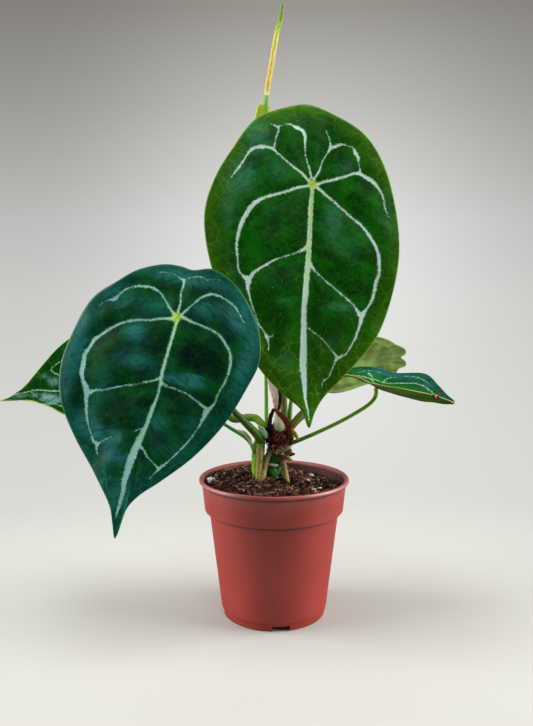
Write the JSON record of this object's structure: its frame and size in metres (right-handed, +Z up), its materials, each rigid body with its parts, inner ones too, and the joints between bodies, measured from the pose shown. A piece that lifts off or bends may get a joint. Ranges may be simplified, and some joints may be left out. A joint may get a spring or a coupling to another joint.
{
  "type": "potted anthurium forgetii",
  "caption": "Velvety peltate leaves with pale veins on thin stalks, a slender flower spike and a short stem in a tapered plastic nursery pot.",
  "frame": {"origin": "centre of the pot's underside, on the surface that it stands on", "axes": "+Z up out of the pot, -Y towards the side that the large leaves face, +X to their right as seen from there"},
  "size_m": [0.3745, 0.1888, 0.4782],
  "materials": {
    "terracotta_plastic": "satin",
    "potting_soil": "rough",
    "stem_tissue": "matte",
    "dry_husk": "rough",
    "papery_husk": "matte",
    "young_green": "satin",
    "leaf_blade": "velvety satin",
    "stalk_green": "satin",
    "spike_yellow": "matte"
  },
  "bodies": {
    "root": {"pot": "terracotta_plastic", "soil": "potting_soil", "stem": "stem_tissue", "side_shoot": "stem_tissue", "fibre_collar": "dry_husk", "husk_tip": "dry_husk", "papery_husk": "papery_husk", "new_shoot": "young_green", "peduncle": "stalk_green", "spathe": "young_green", "spadix": "spike_yellow", "leaf_1_blade": "leaf_blade", "leaf_1_petiole": "stalk_green", "leaf_2_blade": "leaf_blade", "leaf_2_petiole": "stalk_green", "leaf_3_blade": "leaf_blade", "leaf_3_petiole": "stalk_green", "leaf_4_blade": "leaf_blade", "leaf_4_petiole": "stalk_green", "leaf_5_blade": "leaf_blade", "leaf_5_petiole": "stalk_green", "leaf_6_blade": "leaf_blade", "leaf_6_petiole": "stalk_green", "leaf_7_blade": "leaf_blade", "leaf_7_petiole": "stalk_green"}
  },
  "joints": []
}
